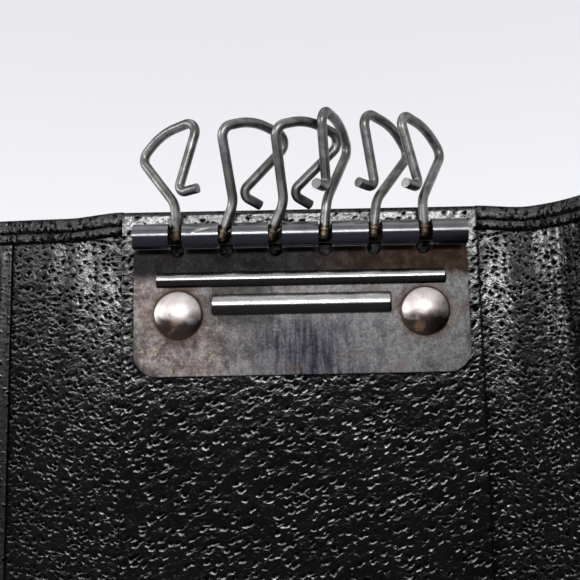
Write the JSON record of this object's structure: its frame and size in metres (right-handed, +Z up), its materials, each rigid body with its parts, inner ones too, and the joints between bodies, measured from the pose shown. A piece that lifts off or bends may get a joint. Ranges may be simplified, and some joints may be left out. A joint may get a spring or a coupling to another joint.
{
  "type": "key case",
  "caption": "Folding black leather key case standing open, with a riveted metal key plate whose rolled barrel holds swinging and swivelling wire hooks, a slip pocket and a snap.",
  "frame": {"origin": "on the surface the case stands on, under the middle of the centre panel, in the plane of its face", "axes": "+X along the hook barrel to the viewer's right, +Y from the inner face to the outer leather, +Z up"},
  "size_m": [0.1434, 0.079, 0.1147],
  "materials": {
    "outer_leather": "pebbled",
    "strip_leather": "pebbled",
    "pocket_leather": "pebbled",
    "lining_leather": "pebbled",
    "board": "matte",
    "plate_nickel": "tarnished",
    "rivet_nickel": "satin",
    "snap_nickel": "satin",
    "hidden_steel": "satin",
    "hook_wire": "satin",
    "washer_brass": "tarnished"
  },
  "bodies": {
    "center": {"back_panel": "outer_leather", "center_panel": "strip_leather", "center_lining": "lining_leather", "center_board": "board", "left_fold": "outer_leather", "right_fold": "outer_leather", "left_fold_lining": "lining_leather", "right_fold_lining": "lining_leather", "key_plate": "plate_nickel", "left_rivet_cap": "rivet_nickel", "right_rivet_cap": "rivet_nickel", "left_rivet_post": "hidden_steel", "right_rivet_post": "hidden_steel"},
    "left_side": {"left_flap": "outer_leather", "left_board": "board", "left_lining": "lining_leather", "left_pocket": "pocket_leather", "snap_stud": "snap_nickel", "snap_post": "hidden_steel"},
    "right_side": {"right_flap": "outer_leather", "right_board": "board", "right_lining": "lining_leather", "snap_cap": "snap_nickel", "snap_socket": "snap_nickel"},
    "pivot_1": {"hook_washer_1": "washer_brass"},
    "hook_1": {"key_hook_1": "hook_wire"},
    "pivot_2": {"hook_washer_2": "washer_brass"},
    "hook_2": {"key_hook_2": "hook_wire"},
    "pivot_3": {"hook_washer_3": "washer_brass"},
    "hook_3": {"key_hook_3": "hook_wire"},
    "pivot_4": {"hook_washer_4": "washer_brass"},
    "hook_4": {"key_hook_4": "hook_wire"},
    "pivot_5": {"hook_washer_5": "washer_brass"},
    "hook_5": {"key_hook_5": "hook_wire"},
    "pivot_6": {"hook_washer_6": "washer_brass"},
    "hook_6": {"key_hook_6": "hook_wire"}
  },
  "joints": [
    {"name": "left_flap_turn", "type": "hinge", "parent": "center", "child": "left_side", "pos_m": [-0.03632, -0.00349, 0.0496], "axis": [0, 0, 1], "range_deg": [-15, 186], "deforming": ["left_fold", "left_fold_lining"]},
    {"name": "right_flap_turn", "type": "hinge", "parent": "center", "child": "right_side", "pos_m": [0.03569, -0.00604, 0.0496], "axis": [0, 0, -1], "range_deg": [-105, 90], "deforming": ["right_fold", "right_fold_lining"]},
    {"name": "hook_1_swing", "type": "hinge", "parent": "center", "child": "pivot_1", "pos_m": [-0.01907, -0.00205, 0.0951], "axis": [-1, 0, 0], "range_deg": [-140, 0]},
    {"name": "hook_1_swivel", "type": "hinge", "parent": "pivot_1", "child": "hook_1", "pos_m": [-0.01907, -0.00205, 0.0951], "axis": [-0.0732, 0.1732, 0.9822], "range_deg": [-120, 120]},
    {"name": "hook_2_swing", "type": "hinge", "parent": "center", "child": "pivot_2", "pos_m": [-0.01221, -0.00205, 0.0951], "axis": [-1, 0, 0], "range_deg": [-140, 0]},
    {"name": "hook_2_swivel", "type": "hinge", "parent": "pivot_2", "child": "hook_2", "pos_m": [-0.01221, -0.00205, 0.0951], "axis": [0.3584, -0.0667, 0.9312], "range_deg": [-35, 65]},
    {"name": "hook_3_swing", "type": "hinge", "parent": "center", "child": "pivot_3", "pos_m": [-0.00463, -0.00205, 0.0951], "axis": [-1, 0, 0], "range_deg": [-140, 0]},
    {"name": "hook_3_swivel", "type": "hinge", "parent": "pivot_3", "child": "hook_3", "pos_m": [-0.00463, -0.00205, 0.0951], "axis": [0.4003, -0.1354, 0.9063], "range_deg": [0, 20]},
    {"name": "hook_4_swing", "type": "hinge", "parent": "center", "child": "pivot_4", "pos_m": [0.00362, -0.00205, 0.0951], "axis": [-1, 0, 0], "range_deg": [-140, 0]},
    {"name": "hook_4_swivel", "type": "hinge", "parent": "pivot_4", "child": "hook_4", "pos_m": [0.00362, -0.00205, 0.0951], "axis": [0.1201, -0.0104, 0.9927], "range_deg": [0, 65]},
    {"name": "hook_5_swing", "type": "hinge", "parent": "center", "child": "pivot_5", "pos_m": [0.01125, -0.00205, 0.0951], "axis": [-1, 0, 0], "range_deg": [-140, 0]},
    {"name": "hook_5_swivel", "type": "hinge", "parent": "pivot_5", "child": "hook_5", "pos_m": [0.01125, -0.00205, 0.0951], "axis": [0.1495, 0.0948, 0.9842], "range_deg": [-25, 50]},
    {"name": "hook_6_swing", "type": "hinge", "parent": "center", "child": "pivot_6", "pos_m": [0.01917, -0.00205, 0.0951], "axis": [-1, 0, 0], "range_deg": [-140, 0]},
    {"name": "hook_6_swivel", "type": "hinge", "parent": "pivot_6", "child": "hook_6", "pos_m": [0.01917, -0.00205, 0.0951], "axis": [0.0157, 0.1495, 0.9886], "range_deg": [-15, 45]}
  ],
  "couplings": [
    {"joint": "hook_3_swing", "follows": "hook_2_swing", "ratio": 1},
    {"joint": "hook_4_swing", "follows": "hook_2_swing", "ratio": 1},
    {"joint": "hook_6_swing", "follows": "hook_5_swing", "ratio": 1}
  ]
}
